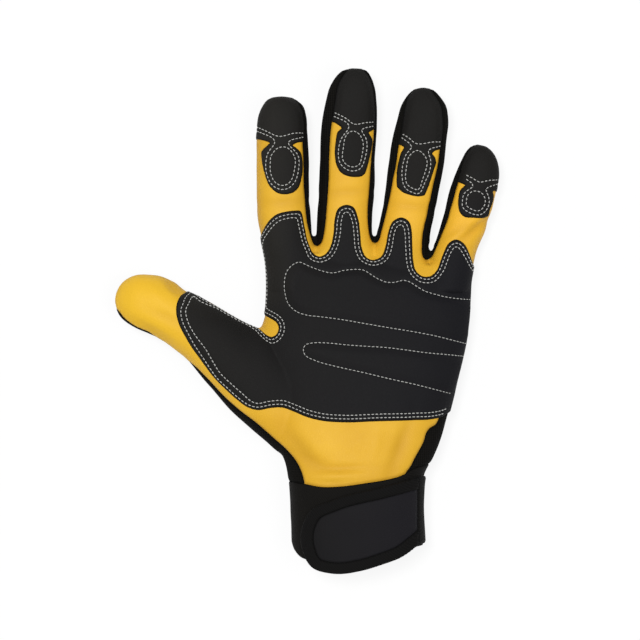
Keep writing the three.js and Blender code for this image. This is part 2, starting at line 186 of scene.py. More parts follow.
def along(rows, step):
    """Points every step along a smooth curve through a table's rows."""
    rows = np.array(rows, float)
    place = np.concatenate([[0], np.cumsum(np.linalg.norm(np.diff(rows, axis=0), axis=1))])
    slope = np.gradient(rows, place, axis=0)
    at = np.linspace(0, place[-1], max(2, round(place[-1] / step)) + 1)
    row = np.clip(np.searchsorted(place, at) - 1, 0, len(place) - 2)
    span = (place[row + 1] - place[row])[:, None]
    t = (at - place[row])[:, None] / span
    leaving = (1 + 2 * t) * (1 - t) ** 2 * rows[row] + t * (1 - t) ** 2 * span * slope[row]
    arriving = t**2 * (3 - 2 * t) * rows[row + 1] - t**2 * (1 - t) * span * slope[row + 1]
    return leaving + arriving


seam_curve = along(SEAM_HEIGHT, 2).T
lift_curve = along(THUMB_LIFT, 2).T


def seam_height(x, y):
    """Height of the line where the front and the back are sewn together."""
    return np.interp(y, *seam_curve) + np.interp(x, *lift_curve)


def squared(part, squareness):
    """The cosine or sine of a turn, for a round that is nearer to a square."""
    return math.copysign(abs(part) ** (2 / squareness), part)


def limb(form, rows, sides, squareness):
    """Adds a tube through rows of left x and y, right x and y, and depth."""
    rings = along(rows, 2)
    last = len(rings) - 1
    made = bmesh.ops.create_grid(form, x_segments=sides, y_segments=last, size=1)
    for vert in made["verts"]:
        row = rings[round((vert.co.y + 1) / 2 * last)]
        turn = math.pi * (vert.co.x + 1)
        across = squared(math.cos(turn), squareness)
        up = squared(math.sin(turn), squareness)
        x, y = (row[:2] + row[2:4]) / 2 + (row[2:4] - row[:2]) / 2 * across
        left, right = seam_height(row[0], row[1]), seam_height(row[2], row[3])
        seam = (left + right) / 2 + (right - left) / 2 * across
        vert.co = (x, y, max(seam + row[4] * up, 0))


def reshaped(skin, *steps):
    """The skin after a few modifiers, each given as its type and its settings."""
    mesh = bpy.data.meshes.new("blank")
    skin.to_mesh(mesh)
    skin.free()
    blank = bpy.data.objects.new("blank", mesh)
    bpy.context.scene.collection.objects.link(blank)
    for kind, settings in steps:
        modifier = blank.modifiers.new(kind.title(), kind)
        for key, value in settings.items():
            setattr(modifier, key, value)
    shaped = bpy.data.meshes.new_from_object(blank.evaluated_get(bpy.context.evaluated_depsgraph_get()))
    bpy.data.objects.remove(blank)
    bpy.data.meshes.remove(mesh)
    skin = bmesh.new()
    skin.from_mesh(shaped)
    bpy.data.meshes.remove(shaped)
    return skin


def refined(skin):
    """The skin with each of its faces parted in four."""
    settings = {"levels": 1, "render_levels": 1, "boundary_smooth": "PRESERVE_CORNERS"}
    return reshaped(skin, ("SUBSURF", settings))


def places(skin):
    return np.array([vert.co[:] for vert in skin.verts])


def ease(value, start, end):
    """Rises smoothly from 0 at start to 1 at end."""
    t = np.clip((value - start) / (end - start), 0, 1)
    return t * t * (3 - 2 * t)


hand = bmesh.new()
limb(hand, PALM, sides=96, squareness=2.5)
thumb_rows = [(x, low, x, high, deep) for x, low, high, deep in THUMB]
limb(hand, [*thumb_rows, (*THUMB_TIP, *THUMB_TIP, 0)], sides=56, squareness=2.2)
for finger in FINGERS.values():
    finger_rows = [(left, y, right, y, deep) for y, left, right, deep in finger["rows"]]
    limb(hand, [*finger_rows, (*finger["tip"], *finger["tip"], 0)], sides=48, squareness=2.2)
bmesh.ops.remove_doubles(hand, verts=hand.verts, dist=0.001)
bmesh.ops.holes_fill(hand, edges=[edge for edge in hand.edges if edge.is_boundary])
bmesh.ops.recalc_face_normals(hand, faces=hand.faces)
# The first smoothing rounds the form where its tubes meet, and the second gives back its size.
hand = reshaped(
    hand,
    ("REMESH", {"mode": "VOXEL", "voxel_size": VOXEL}),
    ("SMOOTH", {"factor": 0.5, "iterations": 12}),
    ("SMOOTH", {"factor": -0.52, "iterations": 12}),
)
hand.normal_update()
# Each vertex keeps the depth of the folds on it, for the painted shade in their creases.
crease_shade = hand.verts.layers.float.new("crease_shade")
for vert in hand.verts:
    x, y, z = vert.co
    rise = sum(height * noise.noise(vert.co / size) for size, height in WAVES)
    for (fold_x, fold_y), degrees, length, width, height in FOLDS:
        turn = math.radians(degrees)
        ahead = ((x - fold_x) * math.cos(turn) + (y - fold_y) * math.sin(turn)) / length
        aside = ((y - fold_y) * math.cos(turn) - (x - fold_x) * math.sin(turn)) / width
        if abs(ahead) < 3 and abs(aside) < 3:
            swell = height * math.exp(-ahead * ahead - aside * aside)
            rise += swell
            vert[crease_shade] += max(-swell, 0)
    vert.co += vert.normal * rise * float(ease(z, 1, 12))
    vert.co.z = 0 if vert.co.z < PRESSED_FLAT else vert.co.z
outward = hand.verts.layers.float_vector.new("outward")
hand.normal_update()
for vert in hand.verts:
    vert[outward] = vert.normal


def from_above(measure):
    """A field: a measure of places seen from above, taken a few thousand places at a time."""

    def field(spots):
        parts = np.array_split(spots[:, None, :2], max(1, len(spots) // 3000))
        return np.concatenate([measure(part) for part in parts])

    return field


def to_stretches(away, step):
    """How far places lie from the nearest of a line's stretches, each a step long."""
    share = np.clip((away * step).sum(-1) / (step * step).sum(-1), 0, 1)
    return np.linalg.norm(away - share[..., None] * step, axis=-1).min(1)


def inside(outline):
    """A field: how far inside a closed outline a place lies."""
    start = np.array(outline, float)
    step = np.roll(start, -1, axis=0) - start
    step[step[:, 1] == 0, 1] = 1e-9

    def measure(spots):
        away = spots - start
        level = away[..., 1] / step[:, 1]
        crossed = (level >= 0) & (level < 1) & (away[..., 0] < level * step[:, 0])
        distance = to_stretches(away, step)
        return np.where(crossed.sum(1) % 2, distance, -distance)

    return from_above(measure)


def near(line):
    """A field: how far a place lies from an open line."""
    start = np.array(line[:-1], float)
    step = np.array(line[1:], float) - start
    return from_above(lambda spots: to_stretches(spots - start, step))


def hump(distance, width):
    """Falls softly from 1 at no distance to nothing past a width."""
    return np.exp(-((distance / width) ** 2))


# The seam runs below the widest line, but rises over it at the thumb's end and where the thumb's black
# band begins: how far a place lies from there, how high the seam rises and how far that reaches.
SEAM_DROP = 1.2
SEAM_RISES = [
    (near([(-93, 3.5), (-88, -1.5), (-80, -5.5)]), 4.5, 4),
    (near([(-50, -30), (-56, -23.5)]), 4.2, 6),
]


def above_seam(spots):
    """How far a place lies above the seam between the front and the back."""
    drop = SEAM_DROP
    for distance, height, reach in SEAM_RISES:
        drop = drop - height * hump(distance(spots), reach)
    return spots[:, 2] - seam_height(spots[:, 0], spots[:, 1]) + drop


def trim(skin, values):
    """Cuts a skin where its vertices' values pass zero, and keeps what is above zero.

    An edge that is cut close to one of its ends isn't split: that end moves to the cut.
    """
    side = skin.verts.layers.float.get("side") or skin.verts.layers.float.new("side")
    for vert, value in zip(skin.verts, values):
        vert[side] = value
    for edge in [edge for edge in skin.edges if edge.verts[0][side] * edge.verts[1][side] < 0]:
        a, b = edge.verts
        if a[side] * b[side] >= 0:
            continue
        share = a[side] / (a[side] - b[side])
        if 0.2 < share < 0.8:
            bmesh.utils.edge_split(edge, a, share)[1][side] = 0
        else:
            closer = a if share < 0.5 else b
            closer.co = a.co.lerp(b.co, share)
            closer[side] = 0
    bmesh.ops.connect_verts(skin, verts=[vert for vert in skin.verts if vert[side] == 0])
    lost = [face for face in skin.faces if sum(vert[side] for vert in face.verts) < 0]
    bmesh.ops.delete(skin, geom=lost, context="FACES")
    bmesh.ops.delete(skin, geom=[vert for vert in skin.verts if not vert.link_faces], context="VERTS")
    return skin


def panel(*fields):
    """A copy of the hand, cut by each field in turn."""
    skin = hand.copy()
    for field in fields:
        trim(skin, field(places(skin)))
    bmesh.ops.dissolve_degenerate(skin, dist=0.06, edges=skin.edges)
    return skin


def mark_border(skin):
    """Gives each vertex's distance from the skin's own border, and keeps it for the material."""
    spots = []
    for edge in skin.edges:
        if edge.is_boundary:
            a, b = (vert.co for vert in edge.verts)
            spots += [a.lerp(b, share) for share in (0, 0.33, 0.67)]
    tree = KDTree(len(spots))
    for number, spot in enumerate(spots):
        tree.insert(spot, number)
    tree.balance()
    distances = np.array([tree.find(vert.co)[2] for vert in skin.verts])
    layer = skin.verts.layers.float.new("border")
    for vert, distance in zip(skin.verts, distances):
        vert[layer] = distance
    return distances


def lift(skin, amounts):
    """Moves each vertex along the normal that the hand has there."""
    outward = skin.verts.layers.float_vector["outward"]
    for vert, amount in zip(skin.verts, amounts):
        vert.co += vert[outward].normalized() * amount


def thicken(skin, wall):
    """Gives a skin its thickness, along the normals of the hand."""
    outward = skin.verts.layers.float_vector["outward"]
    made = bmesh.ops.extrude_face_region(skin, geom=skin.faces[:], use_keep_orig=True)["geom"]
    for vert in made:
        if isinstance(vert, bmesh.types.BMVert):
            vert.co -= vert[outward].normalized() * wall
    bmesh.ops.recalc_face_normals(skin, faces=skin.faces)


def finish_piece(name, skin, wall, material, nodes):
    """Gives a skin its wall, makes it metres, and puts it in the place of its CAD nodes."""
    if wall:
        thicken(skin, wall)
    for layers, layer in ((skin.verts.layers.float, "side"), (skin.verts.layers.float_vector, "outward")):
        if layer in layers:
            layers.remove(layers[layer])
    for edge in skin.edges:
        edge.smooth = len(edge.link_faces) == 2 and edge.calc_face_angle(0) < math.radians(50)
    bmesh.ops.scale(skin, vec=(0.001, 0.001, 0.001), verts=skin.verts)
    mesh = bpy.data.meshes.new(name)
    skin.to_mesh(mesh)
    skin.free()
    for face in mesh.polygons:
        face.use_smooth = True
    mesh.materials.append(material)
    piece = bpy.data.objects.new(name, mesh)
    bpy.context.scene.collection.objects.link(piece)
    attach(piece, "root")
    if nodes:
        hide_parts(*nodes)
    return piece


class Shade:
    """A node's output that is reckoned with as a number."""

    def __init__(self, finish, socket):
        self.finish = finish
        self.socket = socket

    def __add__(self, other):
        return self.finish.add("Math", {0: self, 1: other}, operation="ADD")

    def __sub__(self, other):
        return self.finish.add("Math", {0: self, 1: other}, operation="SUBTRACT")

    def __rsub__(self, other):
        return self.finish.add("Math", {0: other, 1: self}, operation="SUBTRACT")

    def __mul__(self, other):
        return self.finish.add("Math", {0: self, 1: other}, operation="MULTIPLY")

    __radd__ = __add__
    __rmul__ = __mul__


class Finish:
    """A material in the making: add makes a node and gives back one of its outputs."""

    def __init__(self, name):
        self.material = bpy.data.materials.new(name)
        self.material.use_nodes = True
        self.tree = self.material.node_tree
        self.tree.nodes.clear()
        self.place = self.add("TexCoord", output="Object")

    def add(self, kind, inputs=None, output=0, **settings):
        node = self.tree.nodes.new("ShaderNode" + kind)
        for name, value in settings.items():
            setattr(node, name, value)
        for name, value in (inputs or {}).items():
            if isinstance(value, Shade):
                self.tree.links.new(value.socket, node.inputs[name])
            else:
                node.inputs[name].default_value = value
        return Shade(self, node.outputs[output]) if node.outputs else None

    def axis(self, name):
        return self.add("SeparateXYZ", {"Vector": self.place}, output=name)

    def marked(self, name):
        """What the piece's vertices carry under a name."""
        return self.add("Attribute", output="Fac", attribute_name=name)

    def mottle(self, scale, detail=2):
        """Soft clouds from 0 to 1."""
        return self.add("TexNoise", {"Vector": self.place, "Scale": scale, "Detail": detail})

    def ribs(self, scale, distortion, detail=2, direction="DIAGONAL"):
        """Even ribs or threads from 0 to 1."""
        sizes = {"Vector": self.place, "Scale": scale, "Distortion": distortion, "Detail": detail}
        return self.add("TexWave", sizes, bands_direction=direction)

    def cells(self, scale, edge):
        """Small cells, from 0 along their edges to 1 inside."""
        distance = self.add("TexVoronoi", {"Vector": self.place, "Scale": scale}, feature="DISTANCE_TO_EDGE")
        return self.ramp(distance, 0, edge)

    def ramp(self, value, start, end):
        """Rises from 0 to 1 as the value goes from start to end."""
        return self.add("MapRange", {"Value": value, "From Min": start, "From Max": end})

    def blend(self, factor, colour, other):
        return self.add("Mix", {0: factor, 6: colour, 7: other}, output=2, data_type="RGBA")

    def surface(self, colour, roughness, height, depth, **plain):
        """Ends the material: height goes from 0 to 1 over a relief that many metres deep."""
        bump = self.add("Bump", {"Height": height, "Distance": depth, "Strength": 1})
        sockets = {"Base Color": colour, "Roughness": roughness, "Normal": bump}
        sockets.update({name.replace("_", " "): value for name, value in plain.items()})
        self.add("OutputMaterial", {"Surface": self.add("BsdfPrincipled", sockets)})
        return self.material


def leather_finish():
    leather = Finish("yellow_leather")
    border = leather.marked("border")
    crease_shade = leather.marked("crease_shade")
    across = leather.axis("X")
    upward = leather.axis("Y")
    pebbles = leather.cells(1100, 0.25)
    pores = leather.mottle(2600)
    clouds = leather.mottle(38, 4)
    colour = leather.blend(leather.ramp(clouds, 0.35, 0.7), (0.76, 0.42, 0.025, 1), (0.84, 0.485, 0.036, 1))
    thumb = leather.ramp(across, -0.035, -0.075)
    colour = leather.blend(thumb * 0.8, colour, (0.9, 0.54, 0.028, 1))
    # Painted light: the fingers are lighter, more so towards the little finger.
    painted_light_on_fingers = leather.ramp(across, -0.01, 0.08) * leather.ramp(upward, 0.03, 0.05)
    colour = leather.blend(painted_light_on_fingers * 0.85, colour, (0.92, 0.5, 0.034, 1))
    # Painted shade: darker along the index finger's left edge and in the folds' creases.
    shaded = leather.ramp(across, -0.018, -0.025) * leather.ramp(upward, 0.03, 0.045)
    colour = leather.blend(shaded * 0.3 + crease_shade * 0.32, colour, (0.5, 0.25, 0.012, 1))
    colour = leather.blend(leather.ramp(pebbles, 0.5, 0) * 0.14, colour, (0.55, 0.27, 0.015, 1))
    # Painted shade: darker within a few millimetres of the leather's border, and darkest where it turns in at
    # the seams.
    colour = leather.blend(leather.ramp(border, 8, 1) * 0.14, colour, (0.52, 0.27, 0.012, 1))
    colour = leather.blend(leather.ramp(border, 1.6, 0.1) * 0.5, colour, (0.32, 0.15, 0.01, 1))
    rough = 0.5 + 0.12 * leather.mottle(300) - 0.05 * pebbles
    relief = 0.75 * pebbles + 0.25 * pores
    return leather.surface(colour, rough, relief, 0.00006, Specular_IOR_Level=0.2)


# The leather's border at the cuff, and beside the black bands on the wrist's left and right.
CUFF_TOP = [
    (-30, -79), (-11.25, -80), (-1.75, -81), (6.25, -82.3), (17.25, -82), (29.25, -80.4), (40.25, -78.6),
    (47.75, -76.5), (52.25, -74), (61.25, -71.5), (75, -68),
]
LEFT_BAND = [
    (-1.75, -90), (-1.75, -81), (-2.75, -76.5), (-5.75, -70), (-9.75, -65.25), (-17.75, -58), (-25.75, -51),
    (-33.75, -45), (-41.75, -38), (-49.75, -29.5), (-57.75, -21.75), (-65.75, -16.5),
]
RIGHT_BAND = [
    (66.2, -46.5), (65.6, -49.2), (64.2, -51.6), (61, -53.4), (59.4, -55.6), (58.2, -59.7), (55.6, -64.6),
    (53.5, -68.3), (51.6, -72.2), (48.75, -76), (47.75, -90),
]
# Each side strip's edge on the palm side: down a finger, round the crotch and up the next finger.
STRIPS = {
    "index_middle": [
        (-9, 112.8), (-5, 109.2), (-2.9, 105.5), (-1.8, 100), (-1.7, 94), (-2, 89), (-1.75, 84), (-1.5, 76),
        (-1.35, 68), (-0.8, 61), (-0.3, 54), (0.3, 49.5), (1.4, 45), (2.6, 41), (4.5, 37.8), (6.4, 39.2),
        (7.4, 41.8), (8.1, 45.5), (8.7, 50), (9.2, 56), (9.8, 63), (10.3, 72), (10.5, 82), (10.9, 90),
        (11.6, 97), (12.9, 104), (14, 110), (15, 116), (17, 121), (21.5, 127),
    ],
    "middle_ring": [
        (26, 127), (30.5, 122), (32.3, 117), (33.2, 110), (33.6, 103), (33.7, 96), (33.6, 91), (33, 87),
        (32.5, 82), (32.1, 77), (31.7, 71), (31.2, 64), (30.7, 58), (30.6, 52), (30.9, 47.5), (31.5, 43.5),
        (32.2, 41), (33.7, 39.4), (35.2, 40.5), (35.9, 42.5), (36.6, 45.5), (37.8, 50), (39, 55),
        (40.3, 60.5), (41.5, 66.5), (42.5, 72), (43.7, 77), (44.5, 83), (45.3, 88), (46.8, 94),
        (47.9, 101), (49, 107.5), (50.8, 113), (55.5, 117.8),
    ],
    "ring_little": [
        (60, 117.8), (63.5, 112.6), (66.3, 108), (67.4, 101), (67.4, 94), (66.8, 88), (66.2, 83), (65.5, 78),
        (64.4, 73), (63.2, 68), (62.1, 62.5), (60.8, 57), (59.9, 52), (58.7, 47.5), (57.9, 43), (57.6, 38.5),
        (57.6, 34.5), (58.2, 32), (59.8, 30.6), (61.4, 31.8), (63.2, 35.2), (64.7, 38.8), (66.3, 42.6),
        (68, 46.7), (69.7, 51), (71, 56), (72.4, 60.5), (73.6, 65), (74.9, 69.5), (76.3, 74), (77.7, 79),
        (79.6, 83.5), (84, 89.2),
    ],
}
STRIP_DROP = 3.8
SEAM_GAP = 0.12
TURN_WIDTH = 0.7

in_cuff = inside([*along(CUFF_TOP, 1.5), (75, -150), (-30, -150)])
in_left_band = inside([*along(LEFT_BAND, 1.5), (-72, -15), (-76, -26), (-45, -60), (-30, -90)])
in_right_band = inside([*along(RIGHT_BAND, 1.5), (90, -90), (90, -38), (76, -41.5), (70, -45.2)])
in_strip = {}
for name, edge in STRIPS.items():
    (start_x, start_y), (end_x, end_y) = edge[0], edge[-1]
    in_strip[name] = inside([*along(edge, 1.5), (end_x, end_y + 4), (start_x, start_y + 4)])


def in_bands(spots):
    return np.maximum(in_left_band(spots), in_right_band(spots))


def under_strips(spots):
    return np.maximum.reduce([region(spots) for region in in_strip.values()])


def within(field):
    """A field's inside, less the small gap at a seam."""
    return lambda spots: field(spots) - SEAM_GAP


def clear_of(field):
    """A field's outside, less the small gap at a seam."""
    return lambda spots: -SEAM_GAP - field(spots)


leather = panel(within(above_seam), clear_of(in_cuff), clear_of(in_bands), clear_of(under_strips))
border = mark_border(leather)
lift(leather, -0.5 * hump(border, TURN_WIDTH))
yellow_leather = leather_finish()
finish_piece("leather_front", leather, LEATHER_WALL, yellow_leather, ["palm_leather"])

# The back: black stretch knit from the cuff to the fingertips. It comes round both sides of the wrist,
# where it is sewn to the leather.
KNIT_WALL = 1.3


def knit_finish():
    knit = Finish("black_knit")
    ribs = knit.ribs(330, 1.2, detail=1, direction="X")
    rows = knit.ribs(260, 1.5, detail=1, direction="Y")
    fuzz = knit.mottle(3000)
    relief = 0.5 * ribs + 0.3 * rows + 0.2 * fuzz
    colour = knit.blend(relief, (0.003, 0.0027, 0.0022, 1), (0.0105, 0.0097, 0.0085, 1))
    # Painted shade: darker close to the knit's border, where it turns in at the seams.
    colour = knit.blend(knit.ramp(knit.marked("border"), 1.2, 0.2) * 0.6, colour, (0.003, 0.003, 0.003, 1))
    return knit.surface(colour, 0.85 + 0.1 * fuzz, relief, 0.00022, Specular_IOR_Level=0.05)


def down_the_side(field):
    """The share of a region that its side strip covers, from the palm down to the back."""
    return lambda spots: np.minimum(field(spots), above_seam(spots) + STRIP_DROP)


back = panel(
    within(lambda spots: np.maximum(-above_seam(spots), in_bands(spots))),
    clear_of(in_cuff),
    clear_of(down_the_side(under_strips)),
)
border = mark_border(back)
lift(back, -0.45 * hump(border, TURN_WIDTH))
black_knit = knit_finish()
finish_piece("knit_back", back, KNIT_WALL, black_knit, ["back_fabric"])

# The side strips: three gussets of the same knit, each sewn down one finger, round the crotch and up
# the next finger, so that the fingers have depth.
STRIP_WALL = 1.2
for name, region in in_strip.items():
    strip = panel(within(down_the_side(region)))
    border = mark_border(strip)
    turned = hump(border, 0.6) * ease(above_seam(places(strip)), 1.5, 5)
    lift(strip, -0.15 * ease(border, 0.5, 3) - 0.4 * turned)
    finish_piece("side_strip_" + name, strip, STRIP_WALL, black_knit, ["fourchette_" + name])

# The palm patch: one piece of black synthetic leather laid on the leather front, with two rows of
# stitching round its edge. Two long zones of it are padded with foam and outlined by a single row.
HEEL_EDGE = [
    (-60.3, 14.6), (-63.25, 12.5), (-65.25, 7.5), (-65.25, 3.5), (-63.75, -2), (-60.75, -7.75),
    (-57.75, -12.75), (-53.75, -18.25), (-49.75, -23.75), (-45.75, -28.75), (-40.75, -33.75),
    (-35.25, -38.75), (-29.75, -42.75), (-24.75, -44.25), (-18.75, -43.25), (-12.75, -43), (-6.75, -45),
    (-0.75, -47.5), (7.25, -49.5), (17.25, -50.25), (34.25, -49.75), (52.25, -49.25), (62.25, -48.75),
    (67.25, -47.5), (71.25, -45), (78, -42),
]
SCALLOPS = [
    (85.25, 23.5), (82.5, 28.5), (80.75, 33.5), (78, 38.75), (74.25, 40.75), (70.75, 39), (68.5, 35),
    (66.75, 30.5), (64.5, 25), (61.25, 22.25), (57.25, 22.25), (54, 25), (52.75, 30), (52.25, 38), (52, 44.5),
    (50.75, 49.5), (47.25, 51.75), (42.75, 49.75), (40.5, 44.5), (39.25, 38), (36.75, 32), (33, 30.25),
    (29.25, 31.75), (27, 36.5), (26.25, 43.5), (25, 52), (22.75, 57), (19.25, 58), (15.25, 56), (13.75, 51.5),
    (13, 43.5), (11.5, 37), (9.25, 33.5), (6.25, 32), (2.75, 33.75), (0.25, 38.5), (-1.5, 46), (-2.75, 53.5),
]
INDEX_TOP = [(-3.75, 55.25), (-9.75, 54.75), (-15.75, 53), (-19.9, 49), (-22.1, 45), (-23.3, 41.5), (-26, 34)]
THUMB_NOTCH = [
    (-27, 6.5), (-21.6, 3.1), (-18.2, 1.1), (-15.7, -0.5), (-14.4, -2.5), (-14.4, -4.8), (-15.6, -7),
    (-17.7, -8), (-20.2, -7.1), (-22.6, -5.4), (-24.5, -4.3),
]
THUMB_SIDE = [
    (-24.5, -4.3), (-29.8, -2.2), (-37.8, 2.1), (-43.7, 5.6), (-49.8, 9.1), (-55.5, 12.3), (-58.6, 14),
]
UPPER_PAD = [
    (88, 10.5), (75.4, 11.1), (68.8, 12), (62.9, 13.5), (58.6, 14.8), (54.8, 17), (50.4, 19.7), (47.6, 20.3),
    (43.8, 19.3), (39.4, 19.3), (35.1, 21), (31.4, 23.3), (28.4, 25.2), (23.3, 25.7), (18.2, 25.2),
    (12.3, 23.9), (6.4, 25.2), (0.6, 27.4), (-4.2, 29.4), (-8.2, 27.4), (-10.4, 24.5), (-11.5, 19.7),
    (-11.2, 13.8), (-9.6, 8.7), (-6, 5), (-1.6, 3.2), (6.4, 2.1), (15.2, 1), (27, -1), (40.9, -3.4),
    (51.9, -5.2), (64.4, -7.6), (73.9, -10), (88, -13.5),
]
LOWER_PAD = [
    (88, -18.8), (70.2, -16.8), (59.2, -15.8), (48.2, -14.3), (39.4, -13.2), (29.9, -12.6), (18.9, -11.8),
    (9.4, -10.9), (2.8, -10.9), (-0.9, -11.8), (-2.2, -14.1), (-1.1, -17), (3.5, -19.5), (12.3, -22.1),
    (27, -25.4), (40.9, -28.7), (55.6, -32), (66.6, -34.9), (84, -39.5),
]
# The patch is a wall that stands this high above the leather, and lower at its rolled edge and where it
# ends at the seam. Each row of stitches lies in a channel, at a distance from the patch's edge.
PATCH_TOP = 1.25
PATCH_WALL = 0.9
EDGE_TOP = 0.25
SEAM_TOP = 0.2
EDGE_ROLL = 1.1
PATCH_ROWS = (1.65, 3.45)
CHANNEL_DEPTH = 0.28
CHANNEL_WIDTH = 0.45
PUFF = 0.95
PAD_CHANNEL_DEPTH = 0.35
PAD_CHANNEL_WIDTH = 0.7


def synthetic_finish():
    synthetic = Finish("black_synthetic_leather")
    border = synthetic.marked("border")
    across = synthetic.axis("X")
    upward = synthetic.axis("Y")
    grain = synthetic.mottle(1700, 3)
    clouds = synthetic.mottle(30, 3)
    creases = synthetic.cells(1500, 0.2)
    # Painted shade: the patch is darker and bluer towards the little finger's side and the wrist, with soft
    # clouds of tone.
    tone_across = synthetic.ramp(across, -0.05, 0.08) * synthetic.ramp(upward, 0.07, 0.03) * 0.8 + 0.2 * clouds
    # Painted light: lighter along the palm's left side, above the thumb.
    painted_light_palm_side = synthetic.ramp(across, -0.006, -0.017) * synthetic.ramp(upward, 0, 0.012)
    colour = synthetic.blend(tone_across, (0.0125, 0.0118, 0.0105, 1), (0.0082, 0.0082, 0.0108, 1))
    colour = synthetic.blend(painted_light_palm_side, colour, (0.0175, 0.0165, 0.0145, 1))
    # Painted shade: darker along the patch's rolled edge.
    colour = synthetic.blend(synthetic.ramp(border, 1.1, 0.3) * 0.6, colour, (0.003, 0.003, 0.003, 1))
    relief = 0.5 * grain + 0.5 * creases
    return synthetic.surface(colour, 0.6 + 0.2 * grain, relief, 0.00008, Specular_IOR_Level=0.12)


def rolled(border, width):
    """Rises from 0 at a border to 1 at a width, as a quarter of a round."""
    return np.sqrt(1 - (1 - np.clip(border / width, 0, 1)) ** 2)


outline = [*along(HEEL_EDGE, 1), (95, -20), (92, 20), *along(SCALLOPS, 1), *along(INDEX_TOP, 1)]
outline += [(-32, 10), *along(THUMB_NOTCH, 1)[:-1], *along(THUMB_SIDE, 1)]
patch = refined(panel(inside(outline), within(above_seam)))
spots = places(patch)
border = mark_border(patch)
patch.normal_update()
facing_up = np.array([vert.normal.z for vert in patch.verts])
x, y = spots[:, 0], spots[:, 1]
# The rows follow the edge, but lie closer to it on the thumb's upper side, and further in at the thumb's
# end and on the palm's thumb side. On the thumb's lower side only the inner row lies further in.
upper = ease(y + 0.554 * x + 18.5, -10, 0) * ease(-x, 26, 32)
spread = 0.32 * ease(-x, 42, 56) * (1 - upper)
spread = spread + 0.55 * ease(-x, 14, 17) * ease(y, 5, 9) * ease(-y, -42, -36)
rows_at = border * (1 + 0.22 * upper) / (1 + spread)
past_outer_row = np.maximum(rows_at - PATCH_ROWS[0], 0)
rows_at = rows_at - 0.38 * past_outer_row * ease(-x, 24, 32) * ease(-y, 4, 14)
# There are none on the little finger's side, where the patch turns down to the seam.
rows_at = rows_at + 9 * ease(x, 55, 60) * (1 - ease(facing_up, 0.2, 0.3))
rise = EDGE_TOP + (PATCH_TOP - EDGE_TOP) * rolled(rows_at, EDGE_ROLL)
for row in PATCH_ROWS:
    rise = rise - CHANNEL_DEPTH * hump(rows_at - row, CHANNEL_WIDTH)
rise = np.minimum(rise, PATCH_TOP * np.sqrt(np.clip(border / EDGE_ROLL, 0.04, 1)))
rise = SEAM_TOP + (rise - SEAM_TOP) * ease(above_seam(spots), 0.3, 6)
for pad in (UPPER_PAD, LOWER_PAD):
    line = along(pad, 1)
    puff = PUFF * ease(inside(line)(spots), 0, 4.5)
    puff = puff - PAD_CHANNEL_DEPTH * hump(near(line)(spots), PAD_CHANNEL_WIDTH)
    rise = rise + puff * ease(facing_up, 0.2, 0.6)
lift(patch, rise)


def contours(skin, values, level):
    """The lines on a skin where its values pass a level."""
    cut = trim(skin.copy(), values - level)
    side = cut.verts.layers.float.get("side")
    links = {}
    for edge in cut.edges:
        if edge.is_boundary and edge.verts[0][side] == 0 and edge.verts[1][side] == 0:
            for a, b in (edge.verts, reversed(edge.verts)):
                links.setdefault(a, []).append(b)
    lines = []
    while links:
        vert = next((vert for vert, others in links.items() if len(others) == 1), next(iter(links)))
        line = [vert.co[:]]
        while vert in links:
            following = [other for other in links.pop(vert) if other in links]
            if not following:
                break
            vert = following[0]
            line.append(vert.co[:])
        if len(line) > 6:
            lines.append(line)
    cut.free()
    return lines


# A stitch's pitch, length and thickness, and how far its middle lies above the cover.
PITCH = 2.05
STITCH_LENGTH = 1.5
STITCH_THICKNESS = 0.5
PAD_STITCH_THICKNESS = 0.42
STITCH_LIFT = 0.06
stitches = []


def sew(cover, line, flat=False, thickness=STITCH_THICKNESS):
    """Lays stitches on a cover along a line, which is flat where it is only known from above."""
    spots = []
    for spot in along(line, 0.5):
        if flat:
            found = cover.ray_cast(Vector((*spot, 90)), Vector((0, 0, -1)))
        else:
            found = cover.find_nearest(Vector(spot))
        if found[0] is not None:
            spots.append(found[0])
    spots = along([spot[:] for spot in spots], PITCH)
    for a, b in zip(spots[:-1], spots[1:]):
        middle, normal = cover.find_nearest(Vector((a + b) / 2))[:2]
        # A row ends where the hand's outer side turns down.
        if middle.x > 60 and normal.z < (0.3 if middle.y > -30 else 0.62):
            continue
        ahead = (Vector(b) - Vector(a)).normalized()
        aside = normal.cross(ahead).normalized()
        turn = Matrix((aside, ahead.cross(aside), ahead)).transposed().to_4x4()
        shape = Matrix.Diagonal((thickness, thickness, STITCH_LENGTH, 1))
        stitches.append(Matrix.Translation(middle + normal * STITCH_LIFT) @ turn @ shape)


cover = BVHTree.FromBMesh(patch)
for row in PATCH_ROWS:
    for line in contours(patch, rows_at, row):
        sew(cover, line)
for pad in (UPPER_PAD, LOWER_PAD):
    sew(cover, pad, flat=True, thickness=PAD_STITCH_THICKNESS)
patch = reshaped(patch, ("DECIMATE", {"ratio": 0.85}))
black_synthetic = synthetic_finish()
palm_patch = finish_piece(
    "palm_patch_cover", patch, PATCH_WALL, black_synthetic, ["palm_patch"]
)

